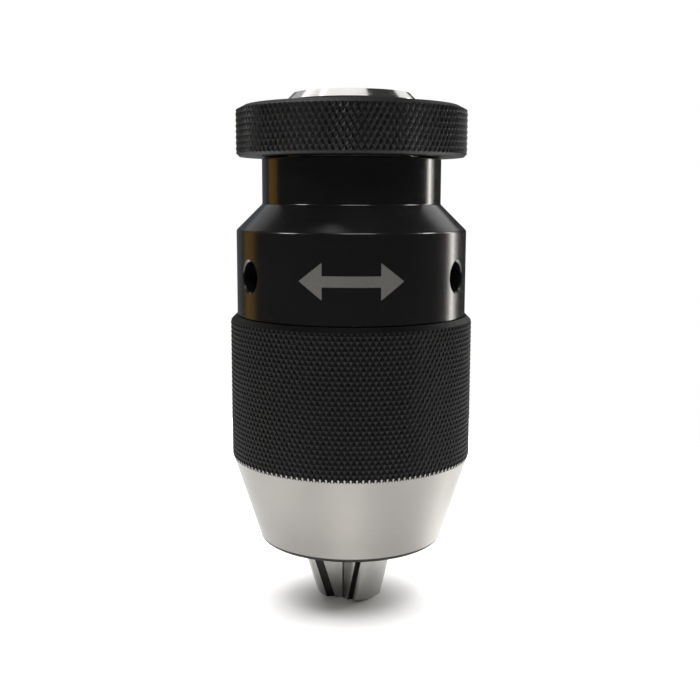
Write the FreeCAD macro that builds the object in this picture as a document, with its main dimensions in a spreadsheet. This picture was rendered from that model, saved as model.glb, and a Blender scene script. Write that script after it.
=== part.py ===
import FreeCAD, Part
import math
import os
import re
import Sketcher

# Self-tightening keyless drill chuck. Millimetres, +Z towards the machine, jaws point down.
# The origin is the centre of the taper socket's mouth, so every depth is measured downwards from it.
# Rest pose: jaws closed.

DRIVING_DIMENSIONS = {
    # hub: female taper, stem, journal, flange and nut thread
    "taper_mouth_r": 7.867, "taper_depth": 24, "taper_per_length": 20.02, "relief_r": 7.6, "relief_end": 25.5,
    "hub_end_r": 11.8, "hub_stem_r": 13.3, "journal_r": 14.5, "screw_room_r": 6.5, "nut_top": 47.8,
    "flange_r": 19.3, "flange_top": 36.1, "flange_bottom": 42.1, "boss_r": 11, "boss_bottom": 55.8,
    # holding ring
    "ring_top": 2.6, "ring_bottom": 12.65, "ring_r": 23.5, "ring_crown_r": 21.8, "ring_crown_drop": 0.9,
    "ring_edge": 0.65,
    # rear sleeve
    "neck_top": 12.95, "neck_r": 18.3, "neck_base": 22.1, "shoulder_base": 27.35, "band_r": 23.6,
    "band_edge": 0.3, "band_bottom": 44.5, "spigot_r": 22.3, "spigot_bottom": 53.5, "cavity_r": 19.6,
    "seal_seat_r": 17, "seal_height": 1.5, "bush_r": 16.2, "bush_bottom": 28.7, "cavity_top": 29,
    "spanner_hole_r": 3, "spanner_hole_depth": 3.2, "spanner_hole_level": 36.2, "spanner_hole_bevel": 0.4,
    "spanner_hole_first_deg": -148,
    # thrust bearing
    "race_height": 2.2, "ball_r": 1.75, "ball_pitch_r": 17.05, "ball_level": 32.55,
    "groove_r": 1.85, "cage_in_r": 14.8, "cage_out_r": 19.3, "cage_half": 0.8, "pocket_r": 1.85,
    "ball_count": 20,
    # flange retention
    "washer_top": 42.4, "washer_height": 1.2, "washer_out_r": 19.4, "spring_height": 1.6,
    "spring_in_r": 15.5, "spring_sheet": 0.5, "snap_height": 1.4, "snap_in_r": 17.4, "snap_seat_r": 20.9,
    "snap_gap": 9,
    # front sleeve
    "hood_top": 44.7, "hood_r": 25, "hood_bevel": 1.1, "grip_bottom": 73.7, "hood_bottom": 92.3,
    "nose_r": 19, "nose_edge": 0.6, "nose_edge_share": 0.6, "guide_seat": 56.7, "hood_bore_r": 21.3,
    "cone_top": 59.9, "cone_mouth_r": 11.205, "mouth_bevel": 0.5,
    # jaw guide
    "guide_counter_r": 11.5, "guide_counter_bottom": 56.1, "guide_bore_r": 10.5, "guide_step": 84,
    "guide_nose_r": 7.3, "guide_bottom": 91.2, "slot_top": 57.5, "slot_width": 6.6,
    "rib_near": 1.85, "rib_far": 3.2, "rib_gap": 4.7, "rib_bite": 0.1,
    "key_pin_r": 0.7, "key_pin_pitch_r": 20.9, "key_pin_half": 2, "key_pin_deg": 60,
    # feed spindle, left-hand trapezoidal thread
    "thread_pitch": 3, "thread_crest_r": 6, "thread_root_r": 4.25, "nut_bore_r": 4.5, "nut_groove_r": 6.25,
    "thread_land": 0.8, "thread_foot": 1.74, "nut_floor": 0.96, "nut_mouth": 1.9, "thread_turns": 9,
    "nut_turns": 4, "turns_below_nut": 6, "thread_sink": 0.3, "thread_sink_spread": 0.16,
    "spindle_top": 46.1, "spindle_end_r": 5.2, "spindle_end": 47.7, "stop_ring_top": 46.4,
    "stop_ring_height": 0.9, "stop_ring_in_r": 4.4, "stop_ring_out_r": 6.3, "stop_ring_gap": 1.6,
    "head_top": 76.8, "head_bottom": 83.5, "head_r": 10.2, "foot_slot_top": 78.4, "foot_slot_bottom": 81.3,
    "neck_slot_width": 3.6,
    # jaws
    "first_jaw_deg": -55, "jaw_top": 83.7, "jaw_tip": 105.9, "jaw_width": 6.4, "jaw_back_gap": 0.12,
    "jaw_face_gap": 0.1, "jaw_foot_r": 4.6, "jaw_foot_top": 78.6, "jaw_foot_bottom": 81.1,
    "jaw_neck_width": 3.2, "jaw_groove_near": 1.7, "jaw_groove_far": 3.35, "jaw_groove_floor": 4.4,
    "jaw_tip_bevel": 1.1,
    # fits
    "journal_fit": 0.05, "side_gap": 0.4,
    # how far cutters run past what they cut
    "overshoot": 1,
}

JAW_COUNT = 3
FULL_TURN = 360
LEAST_CUT = 0.01

DOC = FreeCAD.newDocument("drill_chuck")
SHEET = DOC.addObject("Spreadsheet::Sheet", "dims")
SUB_PARTS = []


def fill_sheet():
    """One driving dimension per row, name beside value."""
    for row, (name, value) in enumerate(DRIVING_DIMENSIONS.items(), start=1):
        SHEET.set(f"A{row}", name)
        SHEET.set(f"B{row}", str(value))
        SHEET.setAlias(f"B{row}", name)
    DOC.recompute()


def size(name):
    """A dimension's value, for code that needs the number itself."""
    return float(SHEET.get(name))


def sheet_name(word):
    return f"dims.{word}" if word in DRIVING_DIMENSIONS else word


def bound(expression):
    """The expression with every dimension's name pointed at the sheet."""
    return re.sub(r"\w+", lambda found: sheet_name(found[0]), expression)


# The inner cone of the front sleeve: its radius at a depth, and its slope, as expressions.
CONE_SLOPE = "((hood_bore_r - cone_mouth_r) / (hood_bottom - cone_top))"
CONE_LENGTH = f"sqrt(1 + {CONE_SLOPE} * {CONE_SLOPE})"


def cone_radius(depth, inset="0"):
    """Radius of the inner cone at a depth, less an inset measured square to the cone."""
    return f"cone_mouth_r + (hood_bottom - {depth}) * {CONE_SLOPE} - ({inset}) * {CONE_LENGTH}"


# ---- features ------------------------------------------------------------------------------------

def new_body(label):
    body = DOC.addObject("PartDesign::Body", label)
    body.Label = label
    SUB_PARTS.append(body)
    return body


def origin_feature(body, role):
    return next(feature for feature in body.Origin.OriginFeatures if feature.Role == role)


def sketch_on(body, role, name, offset=None):
    sketch = body.newObject("Sketcher::SketchObject", name)
    sketch.AttachmentSupport = [(origin_feature(body, role), "")]
    sketch.MapMode = "FlatFace"
    if offset:
        sketch.setExpression("AttachmentOffset.Base.z", bound(offset))
    return sketch


def draw_outline(sketch, points):
    """A closed outline. Each point is (across, down): two expressions measured from the origin."""
    first = sketch.GeometryCount
    count = len(points)
    for index in range(count):
        start = FreeCAD.Vector(1 + index, -index * index, 0)
        after = (index + 1) % count
        sketch.addGeometry(Part.LineSegment(start, FreeCAD.Vector(1 + after, -after * after, 0)))
    for index, (across, down) in enumerate(points):
        line = first + index
        sketch.addConstraint(Sketcher.Constraint("Coincident", line, 2, first + (index + 1) % count, 1))
        x_row = sketch.addConstraint(Sketcher.Constraint("DistanceX", -1, 1, line, 1, 1 + index))
        y_row = sketch.addConstraint(Sketcher.Constraint("DistanceY", line, 1, -1, 1, index * index))
        sketch.setExpression(f"Constraints[{x_row}]", bound(across))
        sketch.setExpression(f"Constraints[{y_row}]", bound(down))


def draw_circle(sketch, across, up, radius):
    """A circle whose centre and radius are expressions."""
    row = sketch.addGeometry(Part.Circle(FreeCAD.Vector(5, 5, 0), FreeCAD.Vector(0, 0, 1), 1))
    x_row = sketch.addConstraint(Sketcher.Constraint("DistanceX", -1, 1, row, 3, 5))
    y_row = sketch.addConstraint(Sketcher.Constraint("DistanceY", -1, 1, row, 3, 5))
    r_row = sketch.addConstraint(Sketcher.Constraint("Radius", row, 1))
    sketch.setExpression(f"Constraints[{x_row}]", bound(across))
    sketch.setExpression(f"Constraints[{y_row}]", bound(up))
    sketch.setExpression(f"Constraints[{r_row}]", bound(radius))


def turn(body, name, points, feature="Revolution"):
    """A turned shape, or a turned cut, about the chuck's axis."""
    sketch = sketch_on(body, "XZ_Plane", f"{name}_outline")
    draw_outline(sketch, points)
    turned = body.newObject(f"PartDesign::{feature}", name)
    turned.Profile = sketch
    turned.ReferenceAxis = (sketch, ["V_Axis"])
    turned.Angle = FULL_TURN
    DOC.recompute()
    return turned


def turned_body(label, points):
    body = new_body(label)
    turn(body, f"{label}_blank", points)
    return body


def ring_points(inner, outer, top, bottom):
    return [(inner, top), (outer, top), (outer, bottom), (inner, bottom)]


def mill(body, name, sketch, both_ways=True, reverse=False):
    """A pocket through everything, checked by the volume that it takes away."""
    before = body.Shape.Volume
    pocket = body.newObject("PartDesign::Pocket", name)
    pocket.Profile = sketch
    pocket.Type = "ThroughAll"
    pocket.Midplane = both_ways
    pocket.Reversed = reverse
    DOC.recompute()
    must_shrink(body, before, name)
    return pocket


def must_shrink(body, before, name):
    if before - body.Shape.Volume < LEAST_CUT:
        raise RuntimeError(f"{name} cuts nothing")


def sink_key_pin_hole(body, across, up, reverse):
    """Three blind dowel holes in the plane where the spigot meets the jaw guide."""
    before = body.Shape.Volume
    sketch = sketch_on(body, "XY_Plane", "key_pin_circle", "- spigot_bottom")
    draw_circle(sketch, across, up, "key_pin_r")
    hole = body.newObject("PartDesign::Pocket", "key_pin_hole")
    hole.Profile = sketch
    hole.Reversed = reverse
    hole.setExpression("Length", bound("key_pin_half"))
    DOC.recompute()
    must_shrink(body, before, "key_pin_hole")
    repeat_round(body, "key_pin_holes", [hole], JAW_COUNT)


def repeat_round(body, name, originals, count):
    """Repeats features round the chuck's axis."""
    pattern = body.newObject("PartDesign::PolarPattern", name)
    pattern.Originals = originals
    pattern.Axis = (origin_feature(body, "Z_Axis"), [""])
    pattern.Angle = FULL_TURN
    pattern.Occurrences = count
    body.Tip = pattern
    DOC.recompute()
    return pattern


def screw_thread(body, name, feature, outline, turns):
    """A left-hand helical ridge or groove that climbs from its outline."""
    before = body.Shape.Volume
    sketch = sketch_on(body, "XZ_Plane", f"{name}_section")
    draw_outline(sketch, outline)
    helix = body.newObject(f"PartDesign::{feature}", name)
    helix.Profile = sketch
    helix.ReferenceAxis = (sketch, ["V_Axis"])
    helix.Mode = "pitch-turns-angle"
    helix.LeftHanded = True
    helix.setExpression("Pitch", bound("thread_pitch"))
    helix.setExpression("Turns", bound(turns))
    DOC.recompute()
    if abs(body.Shape.Volume - before) < LEAST_CUT:
        raise RuntimeError(f"{name} changes nothing")


def face_jaws(body):
    """Turns a body so that its own +X axis points at the first jaw."""
    body.setExpression("Placement.Rotation.Angle", bound("first_jaw_deg"))


def thread_section(centre, root_r, crest_r, root_width, crest_width):
    """Trapezoid centred on a depth: wide at root_r, narrow at crest_r."""
    return [(root_r, f"{centre} + {root_width} / 2"), (crest_r, f"{centre} + {crest_width} / 2"),
            (crest_r, f"{centre} - {crest_width} / 2"), (root_r, f"{centre} - {root_width} / 2")]


# ---- hub side ------------------------------------------------------------------------------------

def make_taper_hub():
    taper_end_r = "taper_mouth_r - taper_depth / (2 * taper_per_length)"
    body = turned_body("taper_hub", [
        ("taper_mouth_r", "0"), ("hub_end_r", "0"), ("hub_stem_r", "hub_stem_r - hub_end_r"),
        ("hub_stem_r", "ring_bottom"), ("journal_r", "ring_bottom"), ("journal_r", "flange_top"),
        ("flange_r", "flange_top"), ("flange_r", "flange_bottom"), ("boss_r", "flange_bottom"),
        ("boss_r", "boss_bottom"), ("nut_bore_r", "boss_bottom"), ("nut_bore_r", "nut_top"),
        ("screw_room_r", "nut_top"), ("screw_room_r", "relief_end"), ("relief_r", "relief_end"),
        ("relief_r", "taper_depth"), (taper_end_r, "taper_depth")])
    nut_start = "(head_top - turns_below_nut * thread_pitch)"
    groove = thread_section(nut_start, "(nut_bore_r - thread_sink)", "nut_groove_r",
                            "(nut_mouth + thread_sink_spread)", "nut_floor")
    screw_thread(body, "nut_thread", "SubtractiveHelix", groove, "nut_turns")
    face_jaws(body)


def make_grip_ring():
    turned_body("grip_ring", [
        ("hub_stem_r", "ring_top"), ("ring_crown_r", "ring_top"), ("ring_r", "ring_top + ring_crown_drop"),
        ("ring_r", "ring_bottom - ring_edge"), ("ring_r - ring_edge", "ring_bottom"),
        ("hub_stem_r", "ring_bottom")])


def race_groove(level):
    """A round ball track, cut all the way round."""
    track = DOC.addObject("Part::Torus", f"track_{level}")
    track.setExpression("Radius1", bound("ball_pitch_r"))
    track.setExpression("Radius2", bound("groove_r"))
    track.setExpression("Placement.Base.z", bound("- ball_level"))
    return track


def make_race(label, inner_r, outer_r, top):
    """A bearing race: a flat ring less the ball track."""
    ring = DOC.addObject("Part::Cylinder", f"{label}_ring")
    ring.setExpression("Radius", bound(outer_r))
    ring.setExpression("Height", bound("race_height"))
    ring.setExpression("Placement.Base.z", bound(f"- {top} - race_height"))
    bore = DOC.addObject("Part::Cylinder", f"{label}_bore")
    bore.setExpression("Radius", bound(inner_r))
    bore.setExpression("Height", bound("race_height * 3"))
    bore.setExpression("Placement.Base.z", bound(f"- {top} - race_height * 2"))
    tools = DOC.addObject("Part::MultiFuse", f"{label}_tools")
    tools.Shapes = [bore, race_groove(label)]
    race = DOC.addObject("Part::Cut", label)
    race.Base = ring
    race.Tool = tools
    race.Label = label
    SUB_PARTS.append(race)


def make_ball_cage():
    body = turned_body("ball_cage", ring_points("cage_in_r", "cage_out_r", "ball_level - cage_half",
                                                "ball_level + cage_half"))
    sketch = sketch_on(body, "XY_Plane", "pocket_circle")
    draw_circle(sketch, "ball_pitch_r", "0", "pocket_r")
    pocket = mill(body, "ball_pocket", sketch)
    repeat_round(body, "ball_pockets", [pocket], int(size("ball_count")))


def make_bearing_balls():
    balls = []
    for index in range(int(size("ball_count"))):
        angle = f"{index} * {FULL_TURN} / ball_count"
        ball = DOC.addObject("Part::Sphere", f"ball_{index + 1}")
        ball.setExpression("Radius", bound("ball_r"))
        ball.setExpression("Placement.Base.x", bound(f"ball_pitch_r * cos({angle})"))
        ball.setExpression("Placement.Base.y", bound(f"ball_pitch_r * sin({angle})"))
        ball.setExpression("Placement.Base.z", bound("- ball_level"))
        balls.append(ball)
    group = DOC.addObject("Part::Compound", "bearing_balls")
    group.Links = balls
    group.Label = "bearing_balls"
    SUB_PARTS.append(group)


# ---- sleeve side ---------------------------------------------------------------------------------

def make_rear_sleeve():
    body = turned_body("rear_sleeve", [
        ("seal_seat_r", "neck_top"), ("neck_r - band_edge", "neck_top"), ("neck_r", "neck_top + band_edge"),
        ("neck_r", "neck_base"), ("band_r - band_edge", "shoulder_base - band_edge"),
        ("band_r", "shoulder_base"), ("band_r", "band_bottom"), ("spigot_r", "band_bottom"),
        ("spigot_r", "spigot_bottom"), ("cavity_r", "spigot_bottom"),
        ("cavity_r", "washer_top + washer_height + spring_height + snap_height"),
        ("snap_seat_r", "washer_top + washer_height + spring_height + snap_height"),
        ("snap_seat_r", "washer_top + washer_height + spring_height"),
        ("cavity_r", "washer_top + washer_height + spring_height"), ("cavity_r", "cavity_top"),
        ("bush_r", "cavity_top"), ("bush_r", "neck_top + seal_height"),
        ("seal_seat_r", "neck_top + seal_height")])
    drill_spanner_holes(body)
    turn_back = "(first_jaw_deg - spanner_hole_first_deg + key_pin_deg)"
    across = f"key_pin_pitch_r * cos({turn_back})"
    up = f"key_pin_pitch_r * sin({turn_back})"
    sink_key_pin_hole(body, across, up, True)


def drill_spanner_holes(body):
    """Three blind holes in the band, each turned about its own radial line, with a bevelled mouth."""
    before = body.Shape.Volume
    sketch = sketch_on(body, "XZ_Plane", "spanner_hole_outline")
    bottom_r = "band_r - spanner_hole_depth"
    beyond_r = "band_r + spanner_hole_bevel"
    draw_outline(sketch, [
        (bottom_r, "spanner_hole_level"), (bottom_r, "spanner_hole_level - spanner_hole_r"),
        ("band_r - spanner_hole_bevel", "spanner_hole_level - spanner_hole_r"),
        (beyond_r, "spanner_hole_level - spanner_hole_r - 2 * spanner_hole_bevel"),
        (beyond_r, "spanner_hole_level")])
    hole = body.newObject("PartDesign::Groove", "spanner_hole")
    hole.Profile = sketch
    hole.ReferenceAxis = (sketch, [f"Edge{sketch.GeometryCount}"])
    hole.Angle = FULL_TURN
    DOC.recompute()
    must_shrink(body, before, "spanner_hole")
    repeat_round(body, "spanner_holes", [hole], JAW_COUNT)
    body.setExpression("Placement.Rotation.Angle", bound("spanner_hole_first_deg"))


def make_dust_seal():
    turned_body("dust_seal", ring_points("journal_r + journal_fit", "seal_seat_r", "neck_top",
                                         "neck_top + seal_height"))


def make_neck_bush():
    turned_body("neck_bush", ring_points("journal_r + journal_fit", "bush_r", "neck_top + seal_height",
                                         "bush_bottom"))


def make_thrust_washer():
    turned_body("thrust_washer", ring_points("boss_r + side_gap", "washer_out_r", "washer_top",
                                             "washer_top + washer_height"))


def make_wave_spring():
    """A waved ring: a thin ring of sheet whose middle line rises and falls four times."""
    waves = 4
    steps = 48
    inner_r = size("spring_in_r")
    outer_r = size("washer_out_r")
    sheet = size("spring_sheet")
    middle = -size("washer_top") - size("washer_height") - size("spring_height") / 2
    swing = (size("spring_height") - sheet) / 2
    edges = {}
    for radius in (inner_r, outer_r):
        for side in (-sheet / 2, sheet / 2):
            points = []
            for step in range(steps):
                angle = 2 * math.pi * step / steps
                height = middle + side + swing * math.cos(waves * angle)
                points.append(FreeCAD.Vector(radius * math.cos(angle), radius * math.sin(angle), height))
            curve = Part.BSplineCurve()
            curve.interpolate(points, PeriodicFlag=True)
            edges[radius, side] = curve.toShape()
    corners = [(inner_r, -sheet / 2), (outer_r, -sheet / 2), (outer_r, sheet / 2), (inner_r, sheet / 2)]
    faces = [Part.makeRuledSurface(edges[corner], edges[corners[(index + 1) % 4]])
             for index, corner in enumerate(corners)]
    shell = Part.Shell(faces)
    solid = Part.Solid(shell)
    if solid.Volume < 0:
        solid.reverse()
    feature = DOC.addObject("Part::Feature", "wave_spring")
    feature.Shape = solid
    feature.Label = "wave_spring"
    SUB_PARTS.append(feature)


def make_split_ring(label, inner_r, outer_r, top, bottom, gap):
    """A snap ring: a flat ring with a gap sawn through it."""
    body = turned_body(label, ring_points(inner_r, outer_r, top, bottom))
    sketch = sketch_on(body, "XY_Plane", f"{label}_gap")
    draw_outline(sketch, [("0", f"- {gap} / 2"), (f"{outer_r} + overshoot", f"- {gap} / 2"),
                          (f"{outer_r} + overshoot", f"{gap} / 2"), ("0", f"{gap} / 2")])
    mill(body, f"{label}_cut", sketch)


def make_retaining_ring():
    top = "washer_top + washer_height + spring_height"
    make_split_ring("retaining_ring", "snap_in_r", "snap_seat_r", top, f"{top} + snap_height", "snap_gap")


def make_front_sleeve():
    nose_drop = "(hood_bottom - grip_bottom)"
    turned_body("front_sleeve", [
        ("spigot_r", "hood_top"), ("hood_r - hood_bevel", "hood_top"), ("hood_r", "hood_top + hood_bevel"),
        ("hood_r", "grip_bottom"),
        (f"nose_r + nose_edge * (hood_r - nose_r) / {nose_drop}", "hood_bottom - nose_edge"),
        ("nose_r - nose_edge * nose_edge_share", "hood_bottom"),
        ("cone_mouth_r + mouth_bevel", "hood_bottom"),
        (cone_radius("(hood_bottom - mouth_bevel)"), "hood_bottom - mouth_bevel"),
        ("hood_bore_r", "cone_top"), ("hood_bore_r", "guide_seat"), ("spigot_r", "guide_seat")])


def make_jaw_guide():
    body = turned_body("jaw_guide", [
        ("guide_counter_r", "spigot_bottom"), ("spigot_r", "spigot_bottom"), ("spigot_r", "guide_seat"),
        ("hood_bore_r", "guide_seat"), ("hood_bore_r", "cone_top"),
        (cone_radius("guide_bottom"), "guide_bottom"),
        ("guide_nose_r", "guide_bottom"), ("guide_nose_r", "guide_step"), ("guide_bore_r", "guide_step"),
        ("guide_bore_r", "guide_counter_bottom"), ("guide_counter_r", "guide_counter_bottom")])
    sketch = sketch_on(body, "XY_Plane", "slot_outline", "- slot_top")
    draw_outline(sketch, [("0", "- slot_width / 2"), ("hood_r", "- slot_width / 2"),
                          ("hood_r", "slot_width / 2"), ("0", "slot_width / 2")])
    slot = mill(body, "jaw_slot", sketch, both_ways=False)
    repeat_round(body, "jaw_slots", [slot], JAW_COUNT)
    add_guide_ribs(body)
    sink_key_pin_hole(body, "key_pin_pitch_r * cos(key_pin_deg)", "key_pin_pitch_r * sin(key_pin_deg)", False)
    face_jaws(body)


def add_guide_ribs(body):
    """In every slot, two ribs parallel to the cone: one long key across it, sawn through in the middle."""
    key = sketch_on(body, "XZ_Plane", "rib_outline")
    draw_outline(key, [(cone_radius("slot_top", "rib_far"), "slot_top"),
                       (cone_radius("slot_top", "rib_near"), "slot_top"),
                       (cone_radius("guide_bottom", "rib_near"), "guide_bottom"),
                       (cone_radius("guide_bottom", "rib_far"), "guide_bottom")])
    pad = body.newObject("PartDesign::Pad", "rib_key")
    pad.Profile = key
    pad.Midplane = True
    pad.setExpression("Length", bound("slot_width + rib_bite"))
    DOC.recompute()
    gap = sketch_on(body, "XY_Plane", "rib_gap_outline", "- slot_top")
    draw_outline(gap, [("0", "- rib_gap / 2"), ("hood_r", "- rib_gap / 2"),
                       ("hood_r", "rib_gap / 2"), ("0", "rib_gap / 2")])
    cut = mill(body, "rib_gap_cut", gap, both_ways=False)
    repeat_round(body, "ribs", [pad, cut], JAW_COUNT)


def make_guide_pins():
    pins = []
    for index in range(JAW_COUNT):
        angle = f"(first_jaw_deg + key_pin_deg + {index} * {FULL_TURN} / {JAW_COUNT})"
        pin = DOC.addObject("Part::Cylinder", f"guide_pin_{index + 1}")
        pin.setExpression("Radius", bound("key_pin_r"))
        pin.setExpression("Height", bound("2 * key_pin_half"))
        pin.setExpression("Placement.Base.x", bound(f"key_pin_pitch_r * cos({angle})"))
        pin.setExpression("Placement.Base.y", bound(f"key_pin_pitch_r * sin({angle})"))
        pin.setExpression("Placement.Base.z", bound("- spigot_bottom - key_pin_half"))
        pins.append(pin)
    group = DOC.addObject("Part::Compound", "guide_pins")
    group.Links = pins
    group.Label = "guide_pins"
    SUB_PARTS.append(group)


# ---- feed ----------------------------------------------------------------------------------------

def make_feed_spindle():
    ring_bottom = "stop_ring_top + stop_ring_height"
    body = turned_body("feed_spindle", [
        ("0", "spindle_top"), ("spindle_end_r", "spindle_top"), ("spindle_end_r", "stop_ring_top"),
        ("stop_ring_in_r", "stop_ring_top"), ("stop_ring_in_r", ring_bottom), ("spindle_end_r", ring_bottom),
        ("spindle_end_r", "spindle_end"), ("thread_root_r", "spindle_end"), ("thread_root_r", "head_top"),
        ("head_r", "head_top"), ("head_r", "head_bottom"), ("0", "head_bottom")])
    sketch = sketch_on(body, "YZ_Plane", "t_slot_outline")
    draw_outline(sketch, [
        ("- slot_width / 2", "foot_slot_top"), ("slot_width / 2", "foot_slot_top"),
        ("slot_width / 2", "foot_slot_bottom"), ("neck_slot_width / 2", "foot_slot_bottom"),
        ("neck_slot_width / 2", "head_bottom + overshoot"),
        ("- neck_slot_width / 2", "head_bottom + overshoot"),
        ("- neck_slot_width / 2", "foot_slot_bottom"), ("- slot_width / 2", "foot_slot_bottom")])
    slot = mill(body, "t_slot", sketch, both_ways=False, reverse=True)
    repeat_round(body, "t_slots", [slot], JAW_COUNT)
    ridge = thread_section("head_top", "(thread_root_r - thread_sink)", "thread_crest_r",
                           "(thread_foot + thread_sink_spread)", "thread_land")
    screw_thread(body, "feed_thread", "AdditiveHelix", ridge, "thread_turns")
    face_jaws(body)


def make_spindle_stop_ring():
    make_split_ring("spindle_stop_ring", "stop_ring_in_r", "stop_ring_out_r", "stop_ring_top",
                    "stop_ring_top + stop_ring_height", "stop_ring_gap")


def make_jaw(number):
    """A jaw: turned to the cone, milled to a slab with a 120 degree gripping edge, footed and grooved."""
    back = "jaw_back_gap"
    body = turned_body(f"jaw_{number}", [
        ("0", "jaw_foot_top"), ("jaw_foot_r", "jaw_foot_top"), ("jaw_foot_r", "jaw_top"),
        (cone_radius("jaw_top", back), "jaw_top"),
        (cone_radius("(jaw_tip - jaw_tip_bevel)", back), "jaw_tip - jaw_tip_bevel"),
        (f"{cone_radius('jaw_tip', back)} - jaw_tip_bevel", "jaw_tip"), ("0", "jaw_tip")])
    trim_to_slab(body)
    mill_neck(body)
    groove_flank(body, "left", "- jaw_groove_floor / 2", False)
    groove_flank(body, "right", "jaw_groove_floor / 2", True)
    angle = f"first_jaw_deg + {number - 1} * {FULL_TURN} / {JAW_COUNT}"
    body.setExpression("Placement.Rotation.Angle", bound(angle))


def trim_to_slab(body):
    """Keeps the slab between two flanks, ended by the two planes that meet the other jaws."""
    point = "(2 * jaw_face_gap / sqrt(3))"
    bevel_end = f"{point} + jaw_width / (2 * sqrt(3))"
    sketch = sketch_on(body, "XY_Plane", "slab_outline")
    draw_outline(sketch, [("- hood_r", "- hood_r"), ("hood_r", "- hood_r"), ("hood_r", "hood_r"),
                          ("- hood_r", "hood_r")])
    draw_outline(sketch, [
        (point, "0"), (bevel_end, "- jaw_width / 2"), ("hood_r - overshoot", "- jaw_width / 2"),
        ("hood_r - overshoot", "jaw_width / 2"), (bevel_end, "jaw_width / 2")])
    mill(body, "slab_trim", sketch)


def mill_neck(body):
    """Thins the neck between the foot and the jaw, on both sides."""
    sketch = sketch_on(body, "YZ_Plane", "neck_outline")
    for side in ("- ", ""):
        draw_outline(sketch, [(f"{side}jaw_neck_width / 2", "jaw_foot_bottom"),
                              (f"{side}jaw_width", "jaw_foot_bottom"), (f"{side}jaw_width", "jaw_top"),
                              (f"{side}jaw_neck_width / 2", "jaw_top")])
    mill(body, "neck_mill", sketch)


def groove_flank(body, side, offset, reverse):
    """The groove in one flank that the guide's rib runs in, parallel to the jaw's back."""
    sketch = sketch_on(body, "XZ_Plane", f"{side}_groove_outline", offset)
    top = "(jaw_top - overshoot)"
    bottom = "(jaw_tip + overshoot)"
    draw_outline(sketch, [
        (cone_radius(top, "jaw_groove_far"), top), (cone_radius(top, "jaw_groove_near"), top),
        (cone_radius(bottom, "jaw_groove_near"), bottom), (cone_radius(bottom, "jaw_groove_far"), bottom)])
    mill(body, f"{side}_groove", sketch, both_ways=False, reverse=reverse)


# ---- assembly ------------------------------------------------------------------------------------

def make_all():
    make_taper_hub()
    make_grip_ring()
    make_rear_sleeve()
    make_dust_seal()
    make_neck_bush()
    make_race("upper_race", "cage_in_r", "cavity_r", "cavity_top")
    make_race("lower_race", "journal_r", "cage_out_r", "(flange_top - race_height)")
    make_ball_cage()
    make_bearing_balls()
    make_thrust_washer()
    make_wave_spring()
    make_retaining_ring()
    make_front_sleeve()
    make_jaw_guide()
    make_guide_pins()
    make_feed_spindle()
    make_spindle_stop_ring()
    for number in range(1, JAW_COUNT + 1):
        make_jaw(number)


def check_all():
    """Stops if any feature failed or any sub-part is empty or not valid."""
    for feature in DOC.Objects:
        if {"Invalid", "Error"} & set(feature.State):
            raise RuntimeError(f"{feature.Name} is {feature.State}")
    for part in SUB_PARTS:
        if part.Shape.isNull() or not part.Shape.isValid():
            raise RuntimeError(f"{part.Label} has no valid shape")


def write_all():
    os.makedirs("parts", exist_ok=True)
    for part in SUB_PARTS:
        part.Shape.exportStep(f"parts/{part.Label}.step")
        box = part.Shape.optimalBoundingBox()
        print(f"{part.Label:18s} solids {len(part.Shape.Solids):2d}  volume {part.Shape.Volume:9.1f}"
              f"  z {box.ZMin:8.2f} to {box.ZMax:7.2f}  widest {max(box.XMax, box.YMax):6.2f}")


fill_sheet()
make_all()
DOC.recompute()
check_all()
write_all()
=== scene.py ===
import math
import bmesh
import bpy
from mathutils import Matrix, Vector


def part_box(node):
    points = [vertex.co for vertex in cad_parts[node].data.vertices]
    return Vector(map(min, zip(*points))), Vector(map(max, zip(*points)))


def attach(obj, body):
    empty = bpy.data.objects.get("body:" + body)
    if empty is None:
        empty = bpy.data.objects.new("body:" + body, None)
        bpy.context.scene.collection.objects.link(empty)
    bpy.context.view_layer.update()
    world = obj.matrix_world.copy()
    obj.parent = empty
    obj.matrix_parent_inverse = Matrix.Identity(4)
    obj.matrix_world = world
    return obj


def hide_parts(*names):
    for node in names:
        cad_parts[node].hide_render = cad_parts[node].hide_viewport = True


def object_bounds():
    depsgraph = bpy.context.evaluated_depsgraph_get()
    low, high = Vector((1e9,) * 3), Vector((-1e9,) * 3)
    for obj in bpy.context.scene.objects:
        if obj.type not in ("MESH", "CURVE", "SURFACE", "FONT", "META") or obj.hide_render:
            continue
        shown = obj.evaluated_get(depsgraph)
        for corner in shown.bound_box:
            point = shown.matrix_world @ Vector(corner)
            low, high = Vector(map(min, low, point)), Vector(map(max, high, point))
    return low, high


# Keyless drill chuck. Metres, in the CAD frame: +Z towards the machine, the side facing -Y is the front.

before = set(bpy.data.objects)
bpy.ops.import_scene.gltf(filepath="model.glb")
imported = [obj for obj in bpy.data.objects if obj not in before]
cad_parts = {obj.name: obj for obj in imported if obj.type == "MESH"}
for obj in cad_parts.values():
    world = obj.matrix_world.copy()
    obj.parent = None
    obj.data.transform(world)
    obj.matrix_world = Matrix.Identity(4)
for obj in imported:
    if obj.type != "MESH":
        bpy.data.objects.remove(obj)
cad_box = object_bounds()

MM = 0.001
TURN = 2 * math.pi
SAME_POINT = 1e-7


# ---- sizes -----------------------------------------------------------------------------------------

def outer_radius(node):
    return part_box(node)[1][0]


RING_LOW, RING_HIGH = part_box("grip_ring")
SLEEVE_LOW, SLEEVE_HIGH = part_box("front_sleeve")
RING_R = outer_radius("grip_ring")
SLEEVE_R = outer_radius("front_sleeve")
STEM_R = 13.3 * MM

RING_CROWN_R = 21.8 * MM
RING_CROWN_DROP = 0.9 * MM
RING_EDGE = 0.65 * MM
RING_KNURL_ABOVE = 0.3 * MM
RING_KNURL_CLEAR = 0.05 * MM
RING_KNURL = {"around": 118, "tall": 2.25 * MM, "deep": 0.30 * MM, "flat": 0.16}

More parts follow.
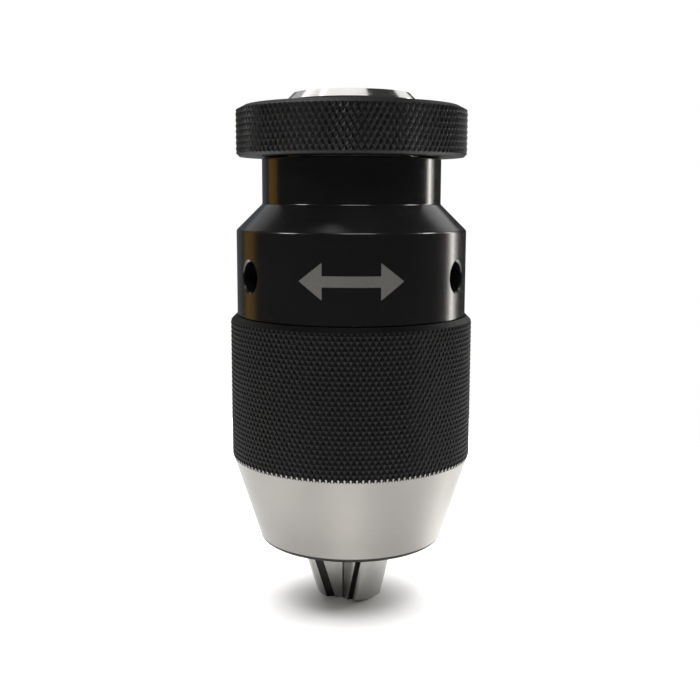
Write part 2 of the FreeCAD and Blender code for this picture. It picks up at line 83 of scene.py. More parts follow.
SLEEVE_BEVEL = 1.1 * MM
SLEEVE_KNURL_ABOVE = 0.45 * MM
SLEEVE_KNURL = {"around": 132, "tall": 1.90 * MM, "deep": 0.27 * MM, "flat": 0.16}
GRIP_BOTTOM = -73.7 * MM
NOSE_R = 19.0 * MM
NOSE_EDGE = 0.8 * MM
MOUTH_R = 11.205 * MM
MOUTH_BEVEL = 0.5 * MM
SPIGOT_R = 22.3 * MM
GUIDE_SEAT = -56.7 * MM
BORE_R = 21.3 * MM
CONE_TOP = -59.9 * MM

# The rear sleeve's section from the seal's seat round the outside and back up the bore:
# radius, height and how far the corner is rounded, in millimetres.
REAR_SECTION = [
    (17.0, -12.95, 0), (18.3, -12.95, 0.3), (18.3, -22.1, 0.5), (23.6, -27.35, 0.75), (23.6, -44.5, 0),
    (22.3, -44.5, 0), (22.3, -53.5, 0.2), (19.6, -53.5, 0), (19.6, -46.6, 0), (20.9, -46.6, 0),
    (20.9, -45.2, 0), (19.6, -45.2, 0), (19.6, -29.0, 0), (16.2, -29.0, 0), (16.2, -14.45, 0),
    (17.0, -14.45, 0),
]
NECK_BASE = -22.1 * MM
SPANNER_SECTION = [(0, 20.4), (3.0, 20.4), (3.0, 23.2), (3.8, 24.0), (0, 24.0)]
SPANNER_LEVEL = -36.2 * MM
SPANNER_DEGREES = (-148, -28, 92)

JAW_DEGREES = {"jaw_1": -55, "jaw_2": 65, "jaw_3": 185}
JAW_HALF_WIDTH = 3.2 * MM
GROOVE_FLOOR = 2.2 * MM
GROOVE_NEAR = 1.7 * MM
GROOVE_FAR = 3.35 * MM
JAW_EDGE = 0.12 * MM
JAW_SLACK = 0.05 * MM

MARK_LEVEL = -36.2 * MM
MARK_LONG = 10.2 * MM
MARK_HEAD = 4.6 * MM
MARK_TALL = 3.5 * MM
MARK_BAR = 1.05 * MM


# ---- materials ---------------------------------------------------------------------------------------

class Paint:
    """A node material under construction: small helpers round one Principled shader."""

    def __init__(self, name, colour, metallic, roughness):
        self.material = bpy.data.materials.new(name)
        self.material.use_nodes = True
        self.tree = self.material.node_tree
        self.shader = self.tree.nodes["Principled BSDF"]
        self.shader.inputs["Base Color"].default_value = (*colour, 1)
        self.shader.inputs["Metallic"].default_value = metallic
        self.shader.inputs["Roughness"].default_value = roughness
        self.material.diffuse_color = (*colour, 1)
        self.place = self.add("ShaderNodeTexCoord").outputs["Object"]

    def add(self, kind, **values):
        node = self.tree.nodes.new(kind)
        for key, value in values.items():
            setattr(node, key, value)
        return node

    def link(self, source, target):
        self.tree.links.new(source, target)

    def stretched(self, scale):
        """The object's own coordinates, scaled differently along each axis."""
        mapping = self.add("ShaderNodeMapping")
        mapping.inputs["Scale"].default_value = scale
        self.link(self.place, mapping.inputs["Vector"])
        return mapping.outputs["Vector"]

    def noise(self, scale, detail=3, rough=0.55, vector=None):
        node = self.add("ShaderNodeTexNoise")
        node.inputs["Scale"].default_value = scale
        node.inputs["Detail"].default_value = detail
        node.inputs["Roughness"].default_value = rough
        self.link(vector or self.place, node.inputs["Vector"])
        return node.outputs["Fac"]

    def turning_lines(self, spacing):
        """Noise that changes along the axis only, as the marks of a lathe or grinder do."""
        return self.noise(1.0, detail=4, rough=0.7, vector=self.stretched((30, 30, 1 / spacing)))

    def radius(self):
        """Distance from the chuck's axis, in metres."""
        flat = self.add("ShaderNodeVectorMath", operation="MULTIPLY")
        flat.inputs[1].default_value = (1, 1, 0)
        self.link(self.place, flat.inputs[0])
        length = self.add("ShaderNodeVectorMath", operation="LENGTH")
        self.link(flat.outputs["Vector"], length.inputs[0])
        return length.outputs["Value"]

    def spread(self, value, low, high, to_low, to_high):
        node = self.add("ShaderNodeMapRange")
        for name, number in zip(("From Min", "From Max", "To Min", "To Max"), (low, high, to_low, to_high)):
            node.inputs[name].default_value = number
        self.link(value, node.inputs["Value"])
        return node.outputs["Result"]

    def blend(self, factor, first, second):
        node = self.add("ShaderNodeMix", data_type="RGBA")
        for socket, value in ((node.inputs[6], first), (node.inputs[7], second)):
            if isinstance(value, tuple):
                socket.default_value = (*value, 1)
            else:
                self.link(value, socket)
        self.link(factor, node.inputs["Factor"])
        return node.outputs[2]

    def math(self, operation, *values):
        node = self.add("ShaderNodeMath", operation=operation)
        for socket, value in zip(node.inputs, values):
            if isinstance(value, (int, float)):
                socket.default_value = value
            else:
                self.link(value, socket)
        return node.outputs[0]

    def product(self, first, second):
        return self.math("MULTIPLY", first, second)

    def axes(self):
        """X, Y and Z of the object's own coordinates."""
        node = self.add("ShaderNodeSeparateXYZ")
        self.link(self.place, node.inputs["Vector"])
        return node.outputs["X"], node.outputs["Y"], node.outputs["Z"]

    def bump(self, height, strength, distance):
        node = self.add("ShaderNodeBump")
        node.inputs["Strength"].default_value = strength
        node.inputs["Distance"].default_value = distance
        self.link(height, node.inputs["Height"])
        self.link(node.outputs["Normal"], self.shader.inputs["Normal"])

    def round_grain(self, amount):
        """Stretches reflections along the axis, as marks that run round the chuck do."""
        self.shader.inputs["Anisotropic"].default_value = amount
        tangent = self.add("ShaderNodeTangent", direction_type="RADIAL", axis="Z")
        self.link(tangent.outputs["Tangent"], self.shader.inputs["Tangent"])

    def to(self, socket, value):
        self.link(value, self.shader.inputs[socket])

    def roughen(self, noise, low, high):
        """Roughness that follows a noise, whose useful part lies between 0.3 and 0.7."""
        self.to("Roughness", self.spread(noise, 0.3, 0.7, low, high))


def black_knurl(name, crest_r, deep, roughness, specular):
    """Black oxide on a knurl: matt in the grooves, rubbed a little brighter on the crests."""
    paint = Paint(name, (0.012, 0.012, 0.012), 0.0, roughness)
    worn = paint.spread(paint.radius(), crest_r - 0.35 * deep, crest_r, 0, 1)
    patchy = paint.product(worn, paint.spread(paint.noise(90), 0.35, 0.7, 0.15, 1))
    paint.to("Base Color", paint.blend(patchy, (0.006, 0.006, 0.006), (0.022, 0.022, 0.022)))
    paint.roughen(paint.noise(700), roughness - 0.06, roughness + 0.08)
    paint.bump(paint.noise(4000, detail=2), 0.12, 0.02 * MM)
    paint.shader.inputs["Specular IOR Level"].default_value = specular
    return paint.material


def black_gloss():
    """Black oxide on turned faces: polished on the neck, brushed on the band, with an etched turn mark."""
    paint = Paint("black_gloss", (0.006, 0.006, 0.006), 0.0, 0.16)
    lines = paint.turning_lines(0.12 * MM)
    height = paint.axes()[2]
    brushed = paint.spread(height, NECK_BASE - 1 * MM, NECK_BASE, 1, 0)
    smooth = paint.spread(lines, 0.3, 0.7, 0.12, 0.20)
    satin = paint.spread(lines, 0.3, 0.7, 0.17, 0.25)
    mark = turn_mark(paint)
    black = paint.blend(paint.noise(60), (0.004, 0.004, 0.0045), (0.007, 0.006, 0.006))
    etched = paint.blend(paint.noise(2500), (0.075, 0.071, 0.064), (0.13, 0.124, 0.112))
    paint.to("Base Color", paint.blend(mark, black, etched))
    gloss = paint.math("ADD", smooth, paint.product(brushed, paint.math("SUBTRACT", satin, smooth)))
    paint.to("Roughness", paint.math("MAXIMUM", gloss, paint.product(mark, 0.6)))
    paint.bump(paint.turning_lines(0.10 * MM), 0.06, 0.01 * MM)
    paint.shader.inputs["Specular IOR Level"].default_value = 0.55
    return paint.material


def black_matt():
    """Black oxide in the turned bevels beside the ring's knurl."""
    paint = Paint("black_matt", (0.007, 0.007, 0.007), 0.0, 0.45)
    paint.to("Base Color", paint.blend(paint.noise(200), (0.005, 0.005, 0.005), (0.010, 0.010, 0.010)))
    paint.roughen(paint.turning_lines(0.12 * MM), 0.38, 0.52)
    paint.shader.inputs["Specular IOR Level"].default_value = 0.25
    return paint.material


def turn_mark(paint):
    """1 inside a plain double-headed arrow laid round the band's front, 0 outside it."""
    across, depth, height = paint.axes()
    angle = paint.math("ARCTAN2", across, paint.product(depth, -1.0))
    along = paint.math("ABSOLUTE", paint.product(angle, outer_radius("rear_sleeve")))
    away = paint.math("ABSOLUTE", paint.math("SUBTRACT", height, MARK_LEVEL))
    slant = paint.product(paint.math("SUBTRACT", MARK_LONG, along), MARK_TALL / MARK_HEAD)
    in_head = paint.product(paint.math("GREATER_THAN", along, MARK_LONG - MARK_HEAD),
                            paint.math("LESS_THAN", away, slant))
    in_bar = paint.product(paint.math("LESS_THAN", along, MARK_LONG - MARK_HEAD + 0.1 * MM),
                           paint.math("LESS_THAN", away, MARK_BAR))
    return paint.math("MAXIMUM", in_head, in_bar)


def ground_steel():
    """Bare steel ground on centres: fine rings, warm grey."""
    paint = Paint("ground_steel", (0.28, 0.272, 0.26), 1.0, 0.3)
    lines = paint.turning_lines(0.10 * MM)
    tone = paint.blend(lines, (0.214, 0.207, 0.194), (0.258, 0.250, 0.234))
    clouds = paint.spread(paint.noise(45, detail=4), 0.35, 0.7, 0, 0.35)
    paint.to("Base Color", paint.blend(clouds, tone, (0.191, 0.184, 0.172)))
    paint.roughen(lines, 0.30, 0.40)
    paint.bump(lines, 0.10, 0.01 * MM)
    paint.round_grain(0.75)
    return paint.material


def painted_shade_edge():
    """The nose's rounded lower edge, painted dark: painted shade that stands for the shadowed table the edge
    reflects.
    """
    paint = Paint("painted_shade_edge", (0.03, 0.029, 0.027), 1.0, 0.4)
    paint.to("Base Color", paint.blend(paint.noise(300), (0.022, 0.021, 0.02), (0.045, 0.043, 0.04)))
    paint.roughen(paint.noise(900), 0.34, 0.5)
    return paint.material


def groove_black():
    """The sides and floor of a jaw's groove: milled, oiled and dark."""
    paint = Paint("groove_black", (0.012, 0.011, 0.010), 0.2, 0.5)
    paint.to("Base Color", paint.blend(paint.noise(500), (0.008, 0.008, 0.007), (0.022, 0.020, 0.018)))
    paint.roughen(paint.noise(1500), 0.42, 0.6)
    return paint.material


def polished_steel():
    paint = Paint("polished_steel", (0.66, 0.65, 0.63), 1.0, 0.14)
    lines = paint.turning_lines(0.14 * MM)
    paint.roughen(lines, 0.10, 0.20)
    paint.to("Base Color", paint.blend(paint.noise(70), (0.62, 0.61, 0.59), (0.70, 0.69, 0.67)))
    paint.bump(lines, 0.05, 0.01 * MM)
    return paint.material


def jaw_steel(name, light):
    """Hardened steel, ground: faint straight marks along the jaw, its brightness given."""
    paint = Paint(name, (light, 0.98 * light, 0.94 * light), 1.0, 0.32)
    marks = paint.noise(1.0, detail=4, rough=0.7, vector=paint.stretched((3500, 3500, 120)))
    clouds = paint.noise(160, detail=4)
    low, high, dull = (tuple(share * light * tint for tint in (1, 0.98, 0.94))
                       for share in (0.86, 1.12, 0.67))
    tone = paint.blend(marks, low, high)
    paint.to("Base Color", paint.blend(paint.spread(clouds, 0.4, 0.75, 0, 0.5), tone, dull))
    paint.roughen(marks, 0.27, 0.40)
    paint.bump(marks, 0.10, 0.01 * MM)
    return paint.material


def bearing_steel():
    paint = Paint("bearing_steel", (0.7, 0.7, 0.71), 1.0, 0.1)
    paint.roughen(paint.noise(400), 0.06, 0.14)
    paint.to("Base Color", paint.blend(paint.noise(120), (0.66, 0.66, 0.67), (0.74, 0.74, 0.75)))
    return paint.material


def spring_steel():
    paint = Paint("spring_steel", (0.11, 0.12, 0.16), 1.0, 0.3)
    paint.roughen(paint.noise(300), 0.24, 0.38)
    paint.to("Base Color", paint.blend(paint.noise(150), (0.09, 0.10, 0.15), (0.16, 0.15, 0.17)))
    return paint.material


def bronze():
    paint = Paint("bronze", (0.60, 0.38, 0.18), 1.0, 0.3)
    lines = paint.turning_lines(0.12 * MM)
    paint.roughen(lines, 0.24, 0.38)
    paint.to("Base Color", paint.blend(paint.noise(90), (0.52, 0.32, 0.15), (0.66, 0.43, 0.21)))
    paint.bump(lines, 0.08, 0.01 * MM)
    return paint.material


def seal_rubber():
    paint = Paint("seal_rubber", (0.02, 0.02, 0.02), 0.0, 0.7)
    paint.roughen(paint.noise(500), 0.62, 0.8)
    paint.bump(paint.noise(2500), 0.2, 0.02 * MM)
    return paint.material


# ---- turned and knurled meshes -----------------------------------------------------------------------

def add_grid_of_diamonds(mesh, knurl, crest_r, top, rows):
    """A flat sheet of diamond studs, unrolled: x runs round the crest circle, y is the radius, z is up.

    Grid points with an even sum carry a stud with a small flat; those with an odd sum lie in the grooves.
    """
    half_wide = math.pi * crest_r / knurl["around"]
    half_tall = knurl["tall"] / 2
    floor_r = crest_r - knurl["deep"]
    steps = ((1, 0), (0, -1), (-1, 0), (0, 1))
    columns = 2 * knurl["around"]
    valleys = {}

    def valley(column, row):
        if (column, row) not in valleys:
            valleys[column, row] = mesh.verts.new((column * half_wide, floor_r, top - row * half_tall))
        return valleys[column, row]

    for row in range(rows + 1):
        for column in range(columns + 1):
            if (row + column) % 2:
                continue
            flat = {}
            for step, (across, up) in enumerate(steps):
                inside = 0 <= column + across <= columns and 0 <= row - up <= rows
                if inside:
                    flat[step] = mesh.verts.new(((column + across * knurl["flat"]) * half_wide, crest_r,
                                                 top - (row - up * knurl["flat"]) * half_tall))
            centre = None
            if len(flat) < 4:
                centre = mesh.verts.new((column * half_wide, crest_r, top - row * half_tall))
            else:
                mesh.faces.new([flat[step] for step in range(4)])
            for step in range(4):
                after = (step + 1) % 4
                if step in flat and after in flat:
                    far = [(column + steps[turn][0], row - steps[turn][1]) for turn in (step, after)]
                    mesh.faces.new([flat[step], valley(*far[0]), valley(*far[1]), flat[after]])
                    if centre:
                        mesh.faces.new([flat[step], flat[after], centre])


def trim_to_slope(mesh, high, low, material):
    """Turns off whatever stands outside the line from high to low, given as (radius, height)."""
    along = Vector((0, low[0] - high[0], low[1] - high[1]))
    normal = along.cross(Vector((1, 0, 0))).normalized()
    if normal.y < 0:
        normal = -normal
    start = Vector((0, high[0], high[1]))
    geometry = mesh.verts[:] + mesh.edges[:] + mesh.faces[:]
    bmesh.ops.bisect_plane(mesh, geom=geometry, dist=SAME_POINT, plane_co=start, plane_no=normal)
    outside = [face for face in mesh.faces if (face.calc_center_median() - start).dot(normal) > 1e-8]
    for face in outside:
        face.material_index = material
        face.smooth = True
    for vert in {vert for face in outside for vert in face.verts}:
        gap = (vert.co - start).dot(normal)
        if gap > 0:
            vert.co.y -= gap / normal.y


def extend(mesh, edge_z, profile, material):
    """Carries the sheet's edge at edge_z on through the profile's (radius, height) points."""
    edges = [edge for edge in mesh.edges if edge.is_boundary
             and all(abs(vert.co.z - edge_z) < SAME_POINT for vert in edge.verts)]
    for radius, height in profile:
        result = bmesh.ops.extrude_edge_only(mesh, edges=edges)
        for vert in result["geom"]:
            if isinstance(vert, bmesh.types.BMVert):
                vert.co.y = radius
                vert.co.z = height
        for face in result["geom"]:
            if isinstance(face, bmesh.types.BMFace):
                face.material_index = material
                face.smooth = True
        edges = [item for item in result["geom"] if isinstance(item, bmesh.types.BMEdge)
                 and all(abs(vert.co.z - height) < SAME_POINT and abs(vert.co.y - radius) < SAME_POINT
                         for vert in item.verts)]


def roll_up(mesh, crest_r):
    """Wraps the unrolled sheet round the axis and closes its seam."""
    for vert in mesh.verts:
        angle = vert.co.x / crest_r
        radius = vert.co.y
        vert.co = Vector((radius * math.sin(angle), -radius * math.cos(angle), vert.co.z))
    bmesh.ops.remove_doubles(mesh, verts=mesh.verts[:], dist=2e-6)
    bmesh.ops.recalc_face_normals(mesh, faces=mesh.faces[:])


def rounded(section):
    """Points of a section given as (radius, height, corner rounding) in millimetres, its corners rounded."""
    points = []
    for index, (radius, height, rounding) in enumerate(section):
        corner = Vector((radius, height))
        if not rounding:
            points.append(corner * MM)
            continue
        before = (Vector(section[index - 1][:2]) - corner).normalized()
        after = (Vector(section[(index + 1) % len(section)][:2]) - corner).normalized()
        half = before.angle(after) / 2
        centre = corner + (before + after).normalized() * rounding / math.sin(half)
        first = corner + before * rounding / math.tan(half) - centre
        last = corner + after * rounding / math.tan(half) - centre
        steps = 6
        for step in range(steps + 1):
            spoke = first.lerp(last, step / steps).normalized() * rounding
            points.append((centre + spoke) * MM)
    return points


def add_turned(mesh, points, segments):
    """A closed section of (radius, height) points turned about the Z axis."""
    rings = []
    for step in range(segments):
        angle = TURN * step / segments
        rings.append([mesh.verts.new((point[0] * math.cos(angle), point[0] * math.sin(angle), point[1]))
                      for point in points])
    for near, far in zip(rings, rings[1:] + rings[:1]):
        for index in range(len(points)):
            after = (index + 1) % len(points)
            mesh.faces.new((near[index], near[after], far[after], far[index]))


def finish_piece(mesh, name, materials, sharp_deg=25):
    for edge in mesh.edges:
        if len(edge.link_faces) == 2:
            edge.smooth = edge.calc_face_angle(0) < math.radians(sharp_deg)
    data = bpy.data.meshes.new(name)
    mesh.to_mesh(data)
    mesh.free()
    for material in materials:
        data.materials.append(material)
    piece = bpy.data.objects.new(name, data)
    bpy.context.scene.collection.objects.link(piece)
    return piece


def make_grip_ring(knurl_black, turned_black):
    """The holding ring: diamond knurl between two turned bevels."""
    top = RING_HIGH[2]
    bottom = RING_LOW[2]
    half_tall = RING_KNURL["tall"] / 2
    start = top - RING_CROWN_DROP + RING_KNURL_ABOVE
    rows = math.floor((start - bottom - RING_KNURL_CLEAR) / half_tall)
    mesh = bmesh.new()
    add_grid_of_diamonds(mesh, RING_KNURL, RING_R, start, rows)
    end = start - rows * half_tall
    trim_to_slope(mesh, (RING_CROWN_R, top), (RING_R, top - RING_CROWN_DROP), 1)
    trim_to_slope(mesh, (RING_R, bottom + RING_EDGE), (RING_R - RING_EDGE, bottom), 1)
    extend(mesh, start, [(RING_CROWN_R, top), (STEM_R, top), (STEM_R, bottom)], 1)
    extend(mesh, end, [(RING_R - RING_EDGE, bottom), (STEM_R, bottom)], 1)
    roll_up(mesh, RING_R)
    piece = finish_piece(mesh, "ring_with_knurl", [knurl_black, turned_black])
    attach(piece, "hub")
    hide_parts("grip_ring")
    return piece


def cone_radius(height):
    """Radius of the sleeve's inner cone at a height."""
    share = (height - SLEEVE_LOW[2]) / (CONE_TOP - SLEEVE_LOW[2])
    return MOUTH_R + share * (BORE_R - MOUTH_R)


def make_front_sleeve(knurl_black, steel, edge_painted_shade):
    """The grip: fine diamond knurl that the bare nose cone is turned into."""
    top = SLEEVE_HIGH[2]
    bottom = SLEEVE_LOW[2]
    half_tall = SLEEVE_KNURL["tall"] / 2
    slope = (SLEEVE_R - NOSE_R) / (GRIP_BOTTOM - bottom)
    start = top - SLEEVE_BEVEL + SLEEVE_KNURL_ABOVE
    runout = GRIP_BOTTOM - SLEEVE_KNURL["deep"] / slope
    rows = math.ceil((start - runout) / half_tall)
    end = start - rows * half_tall
    mesh = bmesh.new()
    add_grid_of_diamonds(mesh, SLEEVE_KNURL, SLEEVE_R, start, rows)
    trim_to_slope(mesh, (SLEEVE_R - SLEEVE_BEVEL, top), (SLEEVE_R, top - SLEEVE_BEVEL), 0)
    trim_to_slope(mesh, (SLEEVE_R, GRIP_BOTTOM), (NOSE_R, bottom), 1)
    extend(mesh, start, [(SLEEVE_R - SLEEVE_BEVEL, top), (SPIGOT_R, top)], 0)
    extend(mesh, top, [(SPIGOT_R, GUIDE_SEAT), (BORE_R, GUIDE_SEAT), (BORE_R, CONE_TOP),
                       (cone_radius(bottom + MOUTH_BEVEL), bottom + MOUTH_BEVEL)], 1)
    nose = []
    steps = 8
    for step in range(1, steps + 1):
        height = end + (bottom + NOSE_EDGE - end) * step / steps
        nose.append((NOSE_R + slope * (height - bottom), height))
    corner_r, corner_z = nose[-1]
    edge = []
    for step in range(1, 5):
        turn = step / 4 * math.pi / 2
        edge.append((corner_r - NOSE_EDGE * (1 - math.cos(turn)), corner_z - NOSE_EDGE * math.sin(turn)))
    edge.append((MOUTH_R + MOUTH_BEVEL, bottom))
    edge.append((cone_radius(bottom + MOUTH_BEVEL), bottom + MOUTH_BEVEL))
    extend(mesh, end, nose, 1)
    # material 2, on the rounded lower edge, the bottom face and the mouth bevel, is painted shade
    extend(mesh, corner_z, edge, 2)
    roll_up(mesh, SLEEVE_R)
    piece = finish_piece(mesh, "sleeve_with_knurl", [knurl_black, steel, edge_painted_shade])
    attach(piece, "sleeve")
    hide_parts("front_sleeve")
    return piece


def make_rear_sleeve(turned_black):
    """Neck, shoulder and band in one, with broken edges and the three spanner holes."""
    mesh = bmesh.new()
    add_turned(mesh, rounded(REAR_SECTION), 288)
    bmesh.ops.recalc_face_normals(mesh, faces=mesh.faces[:])
    blank = finish_piece(mesh, "rear_sleeve_blank", [turned_black])
    mesh = bmesh.new()
    for degrees in SPANNER_DEGREES:
        drill = bmesh.new()
        add_turned(drill, [Vector(point) * MM for point in SPANNER_SECTION], 64)
        bmesh.ops.remove_doubles(drill, verts=drill.verts[:], dist=SAME_POINT)
        bmesh.ops.recalc_face_normals(drill, faces=drill.faces[:])
        turn = Matrix.Rotation(math.radians(degrees), 4, "Z") @ Matrix.Rotation(math.radians(90), 4, "Y")
        drill.transform(Matrix.Translation((0, 0, SPANNER_LEVEL)) @ turn)
        data = bpy.data.meshes.new("drill")
        drill.to_mesh(data)
        drill.free()
        mesh.from_mesh(data)
        bpy.data.meshes.remove(data)
    drills = finish_piece(mesh, "drills", [turned_black])
    cut = blank.modifiers.new("spanner_holes", "BOOLEAN")
    cut.operation = "DIFFERENCE"
    cut.solver = "EXACT"
    cut.object = drills
    graph = bpy.context.evaluated_depsgraph_get()
    mesh = bmesh.new()
    mesh.from_mesh(blank.evaluated_get(graph).to_mesh())
    bpy.data.objects.remove(drills)
    bpy.data.objects.remove(blank)
    for face in mesh.faces:
        face.smooth = True
        face.material_index = 0
    piece = finish_piece(mesh, "rear_sleeve_turned", [turned_black])
    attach(piece, "sleeve")
    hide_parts("rear_sleeve")
    return piece


def make_jaw(node, steel, groove, painted_shade_flank):
    """The CAD jaw with its edges broken, its grooves dark, and its side faces in a darker copy of its steel,
    as painted shade.
    """
    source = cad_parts[node]
    mesh = bmesh.new()
    mesh.from_mesh(source.data)
    mesh.transform(source.matrix_world)
    bmesh.ops.remove_doubles(mesh, verts=mesh.verts[:], dist=1e-6)
    bmesh.ops.dissolve_limit(mesh, angle_limit=math.radians(1), verts=mesh.verts[:], edges=mesh.edges[:])
    sharp = [edge for edge in mesh.edges if edge.is_manifold and edge.calc_face_angle() > math.radians(30)]
    bmesh.ops.bevel(mesh, geom=sharp, offset=JAW_EDGE, offset_type="OFFSET", segments=2, profile=0.5,
                    affect="EDGES", clamp_overlap=True)
    to_own = Matrix.Rotation(math.radians(-JAW_DEGREES[node]), 4, "Z")
    lean = (BORE_R - MOUTH_R) / (CONE_TOP - SLEEVE_LOW[2])
    for face in mesh.faces:
        face.smooth = True
        place = to_own @ face.calc_center_median()
        inset = (cone_radius(place.z) - place.x) / math.sqrt(1 + lean * lean)
        beside = GROOVE_FLOOR - JAW_SLACK < abs(place.y) < JAW_HALF_WIDTH - 3 * JAW_SLACK
        within = GROOVE_NEAR - JAW_SLACK < inset < GROOVE_FAR + JAW_SLACK
        if beside and within and abs(face.normal.z) < 0.9:
            face.material_index = 1
        # Faces turned to the jaw's sides take the darker copy of the ground steel: painted shade, not
        # another finish.
        elif abs((to_own.to_3x3() @ face.normal).y) > 0.7:
            face.material_index = 2
        else:
            face.material_index = 0
    piece = finish_piece(mesh, f"{node}_ground", [steel, groove, painted_shade_flank], sharp_deg=40)
    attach(piece, node)
    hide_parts(node)


def dress(node, material):
    """Puts one material on a carried-over CAD node."""
    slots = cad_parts[node].data.materials
    slots.clear()
    slots.append(material)


# ---- stage -------------------------------------------------------------------------------------------

CAMERA_DISTANCE = 211.8 * MM
CAMERA_HEIGHT = -20.0 * MM
CAMERA_DOWN_DEG = 8.73
CAMERA_ACROSS = -0.3 * MM
CAMERA_ROLL_DEG = -0.16
SENSOR = 36.0
FOCAL = 52.34
ROOM_STRENGTH = 0.05

WHITE = (1.0, 1.0, 1.0)
WARM_WHITE = (1.0, 0.96, 0.90)
GLOW_WHITE = (1.0, 0.97, 0.92)
AMBER = (1.0, 0.55, 0.03)
PALE_BLUE = (0.7, 0.85, 1.0)

AIM_LEVEL = -50 * MM
GLOW_HEIGHT = 11 * MM

# Name, heading from the front towards +X and height above the level in degrees, distance, width and
# height in metres, watts, and colour where it isn't white.
TABLE_LIGHT = ("table_light", 180, 77, 0.9, 1.8, 1.6, 38)
TURNED_LIGHTS = (
    ("edge_left", -72, 35, 0.8, 0.2, 0.16, 1.8),
    ("edge_front", 7, 56, 0.8, 0.36, 0.16, 1.8),
    ("edge_right", 91, 35, 0.8, 0.2, 0.16, 1.8),
)
KNURL_LIGHTS = (
    ("knurl_left", -100, 10, 0.7, 0.25, 0.4, 0.35),
    ("knurl_right", 135, 8, 0.7, 0.3, 0.4, 0.5),
)
ROOM_LIGHTS = (
    ("overhead", -150, 78, 0.95, 0.5, 0.5, 1.0),
    ("ceiling_front", 7, 56, 0.8, 0.36, 0.12, 0.9),
    ("ceiling_left", -72, 35, 0.8, 0.2, 0.16, 0.5),
    ("ceiling_right", 91, 35, 0.8, 0.2, 0.16, 0.5),
    ("ceiling_back", -153, 55, 0.9, 0.4, 0.4, 0.8),
    ("back_left", -146, 34, 0.8, 0.35, 0.35, 0.18),
    ("back_right", 146, 34, 0.8, 0.35, 0.35, 0.42),
    ("softbox_right", 117.5, 2, 0.5, 0.155, 0.5, 0.42, WARM_WHITE),
    ("strip_right", 115.8, 2, 0.49, 0.055, 0.5, 0.75, WARM_WHITE),
    ("card_warm", -118, 2, 0.5, 0.19, 0.5, 0.14, AMBER),
    ("card_cool", -155, 2, 0.5, 0.35, 0.5, 0.06, PALE_BLUE),
)
# Name, heading in degrees, distance from the axis, width and length in metres, watts.
GLOWS = (
    ("glow_front", -2, 0.042, 0.010, 0.026, 0.0028),
    ("glow_right", 100, 0.055, 0.010, 0.050, 0.010),
    ("glow_left", -65, 0.055, 0.030, 0.030, 0.0032),
)


def make_camera():
    data = bpy.data.cameras.new("camera")
    data.sensor_width = SENSOR
    data.lens = FOCAL
    data.clip_start = 0.01
    camera = bpy.data.objects.new("camera", data)
    camera.location = (CAMERA_ACROSS, -CAMERA_DISTANCE, CAMERA_HEIGHT)
    camera.rotation_euler = (math.radians(90 - CAMERA_DOWN_DEG), math.radians(CAMERA_ROLL_DEG), 0)
    bpy.context.scene.collection.objects.link(camera)
    bpy.context.scene.camera = camera


def make_floor():
    """A round white table top."""
    level = cad_box[0][2] - 0.05 * MM
    mesh = bmesh.new()
    rings = (0.02, 0.05, 0.09, 0.13, 0.18)
    segments = 96
    centre = mesh.verts.new((0, 0, level))
    inner = None
    for radius in rings:
        ring = [mesh.verts.new((radius * math.cos(TURN * step / segments),
                                radius * math.sin(TURN * step / segments), level))
                for step in range(segments)]
        for step in range(segments):
            after = (step + 1) % segments
            if inner:
                mesh.faces.new((inner[step], ring[step], ring[after], inner[after]))
            else:
                mesh.faces.new((centre, ring[step], ring[after]))
        inner = ring
    paper = Paint("paper", (0.86, 0.86, 0.86), 0.0, 0.9)
    paper.to("Base Color", paper.blend(paper.noise(3), (0.85, 0.85, 0.85), (0.87, 0.87, 0.87)))
    paper.shader.inputs["Specular IOR Level"].default_value = 0.0
    floor = finish_piece(mesh, "floor", [paper.material])
    return floor


def add_area_light(name, wide, tall, watts, colour, location, rotation):
    data = bpy.data.lights.new(name, "AREA")
    data.shape = "RECTANGLE"
    data.size = wide
    data.size_y = tall
    data.energy = watts
    data.color = colour
    light = bpy.data.objects.new(name, data)
    light.location = location
    light.rotation_euler = rotation
    light.visible_camera = False
    bpy.context.scene.collection.objects.link(light)
    return light


def make_light(name, heading_deg, up_deg, distance, wide, tall, watts, colour=WHITE):
    """An area light aimed at the chuck's middle. Its heading is measured from the front, towards +X."""
    heading = math.radians(heading_deg)
    up = math.radians(up_deg)
    outward = Vector((math.cos(up) * math.sin(heading), -math.cos(up) * math.cos(heading), math.sin(up)))
    location = Vector((0, 0, AIM_LEVEL)) + outward * distance
    rotation = (-outward).to_track_quat("-Z", "Y").to_euler()
    return add_area_light(name, wide, tall, watts, colour, location, rotation)


def make_glow(name, heading_deg, out, level, wide, along, watts):
    """A low light over the table, its long side pointing at the chuck, for a streak on the bare nose."""
    heading = math.radians(heading_deg)
    location = (out * math.sin(heading), -out * math.cos(heading), level + GLOW_HEIGHT)
    return add_area_light(name, wide, along, watts, GLOW_WHITE, location, (0, 0, heading))


def reaching(name, *pieces):
    """A collection of the only pieces that some of the lights reach."""
    collection = bpy.data.collections.new(name)
    for piece in pieces:
        collection.objects.link(piece)
    return collection


def make_lights(floor, turned_sleeve, knurled):
    """Lights for the table alone, for the turned and the knurled black pieces alone, and for everything."""
    table_only = reaching("table_only", floor)
    make_light(*TABLE_LIGHT).light_linking.receiver_collection = table_only
    level = floor.data.vertices[0].co.z
    for name, heading, out, wide, along, watts in GLOWS:
        glow = make_glow(name, heading, out, level, wide, along, watts)
        glow.light_linking.receiver_collection = table_only
    turned_only = reaching("turned_only", turned_sleeve)
    for light in TURNED_LIGHTS:
        make_light(*light).light_linking.receiver_collection = turned_only
    knurled_only = reaching("knurled_only", *knurled)
    for light in KNURL_LIGHTS:
        make_light(*light).light_linking.receiver_collection = knurled_only
    for light in ROOM_LIGHTS:
        make_light(*light)


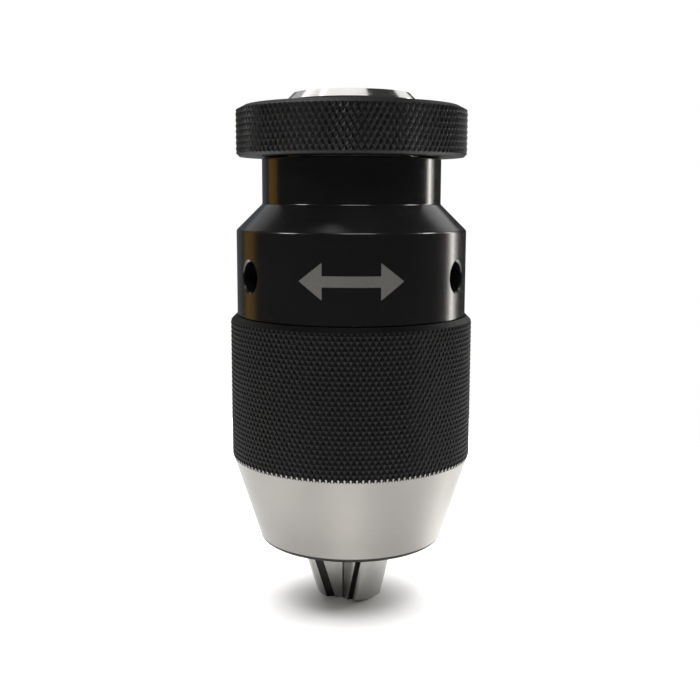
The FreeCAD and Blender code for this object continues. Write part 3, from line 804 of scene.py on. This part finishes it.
def make_world():
    """White behind the chuck, a dim room everywhere else."""
    world = bpy.data.worlds.new("world")
    world.use_nodes = True
    tree = world.node_tree
    room = tree.nodes["Background"]
    room.inputs["Color"].default_value = (1, 1, 1, 1)
    room.inputs["Strength"].default_value = ROOM_STRENGTH
    backdrop = tree.nodes.new("ShaderNodeBackground")
    backdrop.inputs["Color"].default_value = (1, 1, 1, 1)
    backdrop.inputs["Strength"].default_value = 1.0
    path = tree.nodes.new("ShaderNodeLightPath")
    either = tree.nodes.new("ShaderNodeMixShader")
    tree.links.new(path.outputs["Is Camera Ray"], either.inputs["Fac"])
    tree.links.new(room.outputs["Background"], either.inputs[1])
    tree.links.new(backdrop.outputs["Background"], either.inputs[2])
    tree.links.new(either.outputs["Shader"], tree.nodes["World Output"].inputs["Surface"])
    bpy.context.scene.world = world
    bpy.context.scene.view_settings.view_transform = "Standard"


def main():
    turned_black = black_gloss()
    steel = ground_steel()
    jaws = jaw_steel("jaw_steel", 0.46)
    # A darker copy of the jaws' steel for their side faces: painted shade.
    painted_shade_flanks = jaw_steel("jaw_flank_painted_shade", 0.39)
    bright = bearing_steel()
    blued = spring_steel()
    brass = bronze()
    groove = groove_black()
    ring_black = black_knurl("black_knurl_ring", RING_R, RING_KNURL["deep"], 0.34, 0.5)
    knurled = [make_grip_ring(ring_black, black_matt())]
    sleeve_black = black_knurl("black_knurl_sleeve", SLEEVE_R, SLEEVE_KNURL["deep"], 0.46, 0.18)
    # the nose edge's material is painted shade, not the steel's own colour
    knurled.append(make_front_sleeve(sleeve_black, steel, painted_shade_edge()))
    turned_sleeve = make_rear_sleeve(turned_black)
    for node in JAW_DEGREES:
        make_jaw(node, jaws, groove, painted_shade_flanks)
    finishes = {
        "taper_hub": polished_steel(), "dust_seal": seal_rubber(),
        "neck_bush": brass, "ball_cage": brass, "thrust_washer": brass, "upper_race": bright,
        "lower_race": bright, "bearing_balls": bright, "guide_pins": bright, "wave_spring": blued,
        "retaining_ring": blued, "spindle_stop_ring": blued, "jaw_guide": jaws, "feed_spindle": jaws,
    }
    for node, material in finishes.items():
        dress(node, material)
    make_lights(make_floor(), turned_sleeve, knurled)
    make_world()
    make_camera()


main()
